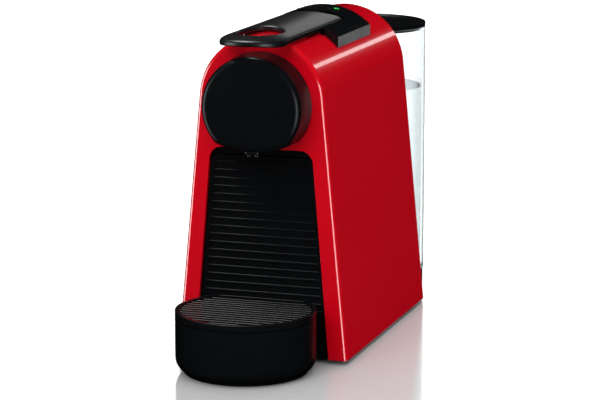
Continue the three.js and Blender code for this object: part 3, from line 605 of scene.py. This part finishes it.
def lever():
    crown = lever_high.z - LEVER_CROWN
    shoulder = FRONT - 11 * MM
    nose = (shoulder - lever_low.y) / LEVER_HALF
    above = lever_high.z + 5 * MM
    plate = horseshoe_block("lever_plate", LEVER_HALF, shoulder, lever_high.y, crown, above, nose)
    carve(plate, lever_crown(0), "INTERSECT")
    carve(plate, lever_crown(LEVER_THICK))
    hole = rod_z("finger hole", FINGER_HALF, FRONT, crown, lever_high.z + PAST, sides=72)
    pick(hole, "VERT", lambda v: True)
    oval = (1, FINGER_REACH / FINGER_HALF, 1)
    bpy.ops.transform.resize(value=oval, center_override=(0, FRONT, crown))
    leave(hole)
    carve(plate, hole)
    soften(weld(plate, 0.4 * MM), 1.3 * MM, 5, 50, clamp=False)
    parts = [plate]
    top = lever_high.z - 4.8 * MM
    pin_y = HINGE_Y - CRANK * math.cos(CRANK_ANGLE)
    pin_z = HINGE_Z + CRANK * math.sin(CRANK_ANGLE)
    for side in (-1, 1):
        near_x, far_x = side * ARM_INNER, side * ARM_OUTER
        low_x, high_x = min(near_x, far_x), max(near_x, far_x)
        corner = (high_x, HINGE_Y + 8 * MM, top)
        arm = box("arm", (low_x, HINGE_Y - 7 * MM, HINGE_Z - 7 * MM), corner)
        pick(arm, "VERT", lambda v: v.z > HINGE_Z)
        bpy.ops.transform.resize(value=(1, 2, 1), center_override=(0, HINGE_Y - 2 * MM, top))
        leave(arm)
        hub = rod_x("hub", 8 * MM, near_x, far_x, HINGE_Y, HINGE_Z, sides=64)
        link = rod_x("link", 4.4 * MM, near_x, far_x, pin_y, pin_z, sides=48)
        pin = rod_x("pin", PIN_RADIUS, near_x, side * PIN_END, pin_y, pin_z, sides=32)
        web = box("web", (low_x, HINGE_Y - 3.8 * MM, pin_z), (high_x, pin_y + 4.4 * MM, HINGE_Z))
        for added in (hub, link, web):
            carve(arm, added, "UNION")
        bore = rod_x("bore", SHAFT_BORE, side * 10 * MM, side * 30 * MM, HINGE_Y, HINGE_Z, sides=64)
        carve(arm, bore)
        parts += [soften(weld(arm), 0.5 * MM, 2, 45), soften(pin, 0.3 * MM, 2, 45)]
    return mount(join("lever_plate", parts), GLOSS_BLACK, "lever", "black_gloss", "lever")


def button(name, side, node):
    cap = button_rod(name, BUTTON_RADIUS, SADDLE_RADIUS - 6.5 * MM, BUTTON_TOP, side)
    soften(cap, 0.5 * MM, 4, 45)
    stem = soften(button_rod("stem", 2 * MM, 31.5 * MM, SADDLE_RADIUS - 6.4 * MM, side), 0.2 * MM, 2, 45)
    return mount(join(name, [cap, stem]), SATIN_BLACK, node, "black_gloss", node)


def cup_mark():
    """The lit sign on the right button: a plain bowl with a ring for its handle."""
    way = Vector((math.sin(BUTTON_LEAN), 0, math.cos(BUTTON_LEAN)))
    across = Vector((math.cos(BUTTON_LEAN), 0, -math.sin(BUTTON_LEAN)))
    middle = Vector((0, BUTTON_Y, ARCH_CENTRE)) + way * BUTTON_TOP

    def flat(name, radius, shift, depth=0.06 * MM):
        place = middle + across * shift
        return rod(name, radius, place - way * depth, place + way * depth, sides=48)

    bowl = flat("cup_mark", 2.1 * MM, 0)
    carve(bowl, box("brim", (-WIDE, BUTTON_Y + 0.3 * MM, 0), (WIDE, BUTTON_Y + 2 * PAST, ABOVE)))
    handle_x = 2.3 * MM
    handle = flat("handle", 1.1 * MM, handle_x)
    carve(handle, flat("handle bore", 0.6 * MM, handle_x, 1 * MM))
    mark = paint(join("cup_mark", [bowl, handle]), SIGN)
    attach(mark, "lungo_button")


# ---------------------------------------------------------------- drip unit
def behind(name, y):
    """A cutter for everything low down that lies behind y."""
    return box(name, (-WIDE, y, -PAST), (WIDE, WIDE, WIDE))


def drip_cup():
    cup = rod_z("drip_cup", TRAY_RADIUS, TRAY_CENTRE, CUP_WAIST, cup_high.z, sides=192)
    pick(cup, "FACE", lambda v: v.z < CUP_WAIST + HAIR)
    radius, height = TRAY_RADIUS, CUP_WAIST
    for degrees in range(10, 100, 10):
        angle = math.radians(degrees)
        narrower = TRAY_RADIUS - CUP_TUCK * (1 - math.cos(angle))
        lower = CUP_WAIST - (CUP_WAIST - CUP_FOOT) * math.sin(angle)
        bpy.ops.mesh.extrude_region_move(TRANSFORM_OT_translate={"value": (0, 0, lower - height)})
        scale = narrower / radius
        bpy.ops.transform.resize(value=(scale, scale, 1), center_override=(0, TRAY_CENTRE, lower))
        radius, height = narrower, lower
    bpy.ops.mesh.extrude_region_move(TRANSFORM_OT_translate={"value": (0, 0, -CUP_FOOT)})
    leave(cup)
    carve(cup, behind("rear cut", CUP_REAR))
    above = cup_high.z + 2 * PAST
    carve(cup, rod_z("upper hollow", TRAY_RADIUS - WALL, TRAY_CENTRE, 10.5 * MM, above, sides=192))
    low = rod_z("lower hollow", TRAY_RADIUS - 7 * MM, TRAY_CENTRE, WALL, above, sides=160)
    carve(low, behind("step", FRONT - 4 * MM))
    carve(cup, low)
    deck_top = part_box("drip_tray")[0].z - GAP
    deck_low = deck_top - DECK_THICK
    passage, deck_half, tongue_half = 23.2 * MM, 41.5 * MM, 24 * MM
    carve(cup, box("tray passage", (-passage, FRONT - 10 * MM, deck_top), (passage, PAST, above)))
    soften(weld(cup), 0.4 * MM, 3, 45)
    deck = box("deck", (-deck_half, FRONT + 7 * MM, deck_low), (deck_half, cup_high.y, deck_top))
    corner = (tongue_half, FRONT + 8 * MM, deck_top - 0.02 * MM)
    tongue = box("tongue", (-tongue_half, FRONT - 1 * MM, deck_low), corner)
    soften(deck, 0.5 * MM, 2, 45)
    whole = join("drip_cup", [cup, deck, tongue])
    return mount(whole, SATIN_BLACK, "drip_unit", "black_satin", "drip_base")


def drip_grid():
    top, low = grid_high.z, grid_low.z
    ring = rod_z("grid_ring", TRAY_RADIUS, TRAY_CENTRE, low, top, sides=192)
    carve(ring, behind("rear cut", CUP_REAR))
    bore = rod_z("bore", TRAY_RADIUS - 2.9 * MM, TRAY_CENTRE, low - PAST, top + PAST, sides=192)
    carve(bore, behind("rear cut", CUP_REAR - 1.6 * MM))
    carve(ring, bore)
    parts = [soften(weld(ring), 0.6 * MM, 4, 45)]
    half = BAR_WIDTH / 2
    inside = TRAY_RADIUS - 2 * MM
    y = CUP_REAR - 6.6 * MM
    while y > TRAY_CENTRE - TRAY_RADIUS + 3 * MM:
        reach = math.sqrt(inside ** 2 - (abs(y + half - TRAY_CENTRE) + half) ** 2)
        bar = box("rib", (-reach, y, low + 1 * MM), (reach, y + BAR_WIDTH, top - 0.7 * MM))
        parts.append(soften(bar, 0.55 * MM, 3, 45))
        y -= RIB_PITCH
    for x in (-16 * MM, 0, 16 * MM):
        reach = math.sqrt(inside ** 2 - x ** 2)
        front = (x - half, TRAY_CENTRE - reach, low + 0.2 * MM)
        spine = box("spine", front, (x + half, CUP_REAR - 1 * MM, top - 1.8 * MM))
        parts.append(soften(spine, 0.3 * MM, 2, 45))
    return mount(join("grid_ring", parts), SATIN_BLACK, "grid", "black_satin", "drip_grid")


def ribbed_panel():
    front, rear, low, top = panel_low.y, panel_high.y, panel_low.z, panel_high.z
    inset, rim_width, rib_height = 0.5 * MM, 2.4 * MM, 1.5 * MM
    back = tapered_block("ribbed_panel", inset, low, top, front + 0.6 * MM, rear, 5 * MM)
    rim = tapered_block("rim", inset, low, top, front, rear - 1 * MM, 5 * MM)
    field_low, field_top = 31.5 * MM, top - rim_width
    field = tapered_block(
        "field", inset + rim_width, field_low, field_top, front - PAST, rear + PAST, 4 * MM,
    )
    carve(rim, field)
    ribs = []
    z = grid_high.z - 3 * MM
    while z < top - 4 * MM:
        half = opening_half(z + rib_height) - 2.2 * MM
        rib = box("rib", (-half, front, z), (half, front + 1.2 * MM, z + rib_height))
        ribs.append(soften(rib, 0.45 * MM, 3, 45))
        z += RIB_PITCH
    for part in (back, rim):
        passage = box("passage", (-24 * MM, -2 * WIDE, -PAST), (24 * MM, WIDE, 24 * MM))
        soften(weld(carve(part, passage)), 0.35 * MM, 3, 45)
    whole = join("ribbed_panel", [back, rim, *ribs])
    return mount(whole, SATIN_BLACK, "drip_unit", "black_satin", "front_panel")


# ---------------------------------------------------------------- tank
def water_tank():
    front, low, top = tank_low.y, tank_low.z, tank_high.z
    tank = cut_disc("clear_tank", TANK_RADIUS, front, low, top)
    inside = cut_disc("inside", TANK_RADIUS - TANK_WALL, front + TANK_WALL, low + 3 * MM, top + PAST)
    carve(tank, inside)
    valve_y = sum(corner.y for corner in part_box("tank_connector")) / 2
    carve(tank, rod_z("valve hole", 6.6 * MM, valve_y, 0, 30 * MM, sides=64))
    soften(weld(tank), 0.5 * MM, 3, 50)
    return mount(tank, TANK, "tank", "clear_tank", "water_tank")


def tank_water():
    inset, low = TANK_WALL + 0.05 * MM, tank_low.z + 13 * MM
    water = cut_disc("tank_water", TANK_RADIUS - inset, tank_low.y + inset, low, WATER_LEVEL)
    soften(water, 0.3 * MM, 2, 50)
    paint(water, WATER)
    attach(water, "tank")


def tank_lid():
    front, low, top = lid_low.y, lid_high.z - 2.3 * MM, lid_high.z
    lid = cut_disc("lid_plate", TANK_RADIUS, front, low, top)
    inset = 4.5 * MM
    recess = cut_disc("recess", TANK_RADIUS - inset, front + inset, low + 1.4 * MM, top + PAST)
    carve(lid, recess)
    soften(weld(lid), 0.7 * MM, 4, 50)
    outer, inner = 2.6 * MM, 4.4 * MM
    skirt = cut_disc("skirt", TANK_RADIUS - outer, front + outer, lid_low.z, low + 0.2 * MM)
    hollow = cut_disc("hollow", TANK_RADIUS - inner, front + inner, lid_low.z - PAST, low + 0.1 * MM)
    soften(weld(carve(skirt, hollow)), 0.3 * MM, 2, 50)
    return mount(join("lid_plate", [lid, skirt]), SATIN_BLACK, "lid", "black_satin", "tank_lid")


shell_piece = red_shell()
head_piece = head_cover()
outlet_piece = coffee_outlet()
saddle_piece = saddle()
lever_piece = lever()
button("espresso_cap", -1, "espresso_button")
button("lungo_cap", 1, "lungo_button")
cup_mark()
drip_cup()
drip_grid()
ribbed_panel()
water_tank()
tank_water()
tank_lid()


# ---------------------------------------------------------------- studio
def lamp(name, place, target, size, radiance, roll=0, unseen=(), only=()):
    """A soft lamp aimed at the target, unseen by some kinds of ray; it may light only some pieces."""
    light = bpy.data.lights.new(name, "AREA")
    light.shape, light.size, light.size_y = "RECTANGLE", *size
    light.energy = radiance * math.pi * size[0] * size[1]
    holder = bpy.data.objects.new(name, light)
    bpy.context.collection.objects.link(holder)
    holder.location = place
    aim = (Vector(target) - Vector(place)).to_track_quat("-Z", "Y")
    holder.rotation_euler = (aim @ Quaternion((0, 0, 1), math.radians(roll))).to_euler()
    for ray in ("camera", *unseen):
        setattr(holder, "visible_" + ray, False)
    if only:
        lit = bpy.data.collections.new(name + " receivers")
        for piece in only:
            lit.objects.link(piece)
        holder.light_linking.receiver_collection = lit


def studio():
    bpy.context.scene.view_settings.view_transform = "Standard"
    floor = start("floor", bpy.ops.mesh.primitive_plane_add, size=14, location=(0, 2, -0.0005))
    ground = Finish("pale studio floor", (0.55, 0.55, 0.555), 0.1, Specular_IOR_Level=0.85)
    ground.feed("Roughness", ground.noise(3, 2) * 0.04 + 0.08)
    paint(floor, ground.material)
    floor.visible_glossy = False
    world = bpy.data.worlds.new("studio")
    bpy.context.scene.world = world
    world.use_nodes = True
    sky = world.node_tree.nodes["Background"]
    sky.inputs["Color"].default_value = (1, 1, 1, 1)
    sky.inputs["Strength"].default_value = 0.75
    world.cycles_visibility.glossy = False
    body = (0, 0, 0.1)
    gloss_only, no_gloss = ("diffuse", "transmission"), ("glossy",)
    lamp("floor sheen", (-1.7, 5, 1.4), (-1.7, 0, 1.4), (10, 3), 2.6, only=[floor])
    lamp("front fill", (-0.2, -2.2, 1.5), body, (2, 1.4), 3.4, unseen=no_gloss)
    lamp("right fill", (2.0, 0.1, 0.7), body, (1.2, 1.2), 1.4, unseen=no_gloss)
    lamp("overhead", (0.1, 0, 2), body, (1.6, 1.6), 2.1, unseen=no_gloss)
    lamp("top sheen", (-0.42, -0.25, 1.3), body, (0.9, 0.7), 11, unseen=gloss_only)
    lamp("shoulder strip", (1.08, 3.75, 1.12), (0.03, 0, 0.18), (0.18, 1.4), 2.3, 45, gloss_only)
    dark_pieces = [lever_piece, head_piece, outlet_piece]
    for side, place, radiance in ((1, (0.58, -0.67, 0.02), 11), (-1, (-0.72, -0.43, 0.02), 12)):
        edge = (side * 0.05, -0.09, 0.08)
        lamp("edge sheen", place, edge, (0.45, 0.6), radiance, 0, gloss_only, [shell_piece])
        lamp("rim sheen", place, edge, (0.45, 0.6), 3.5, 0, gloss_only, dark_pieces)
    lamp("lever sheen", (-0.4, 2, 0.74), (0, 0, 0.2), (0.35, 0.3), 1.7, 0, gloss_only, [lever_piece])
    saddle_side = (0.04, 0.04, 0.17)
    lamp("saddle sheen", (0.29, 0.85, 0.05), saddle_side, (0.4, 0.16), 1, 0, gloss_only, [saddle_piece])


def camera():
    lens = bpy.data.cameras.new("camera")
    lens.lens, lens.sensor_width = 146.2, 36
    holder = bpy.data.objects.new("camera", lens)
    bpy.context.collection.objects.link(holder)
    stand = Vector((0.4771, FRONT - 1.367, 0.3866))
    target = Vector((0.025, FRONT, 0.1005))
    holder.location = stand
    holder.rotation_euler = (target - stand).to_track_quat("-Z", "Y").to_euler()
    bpy.context.scene.camera = holder


studio()
camera()
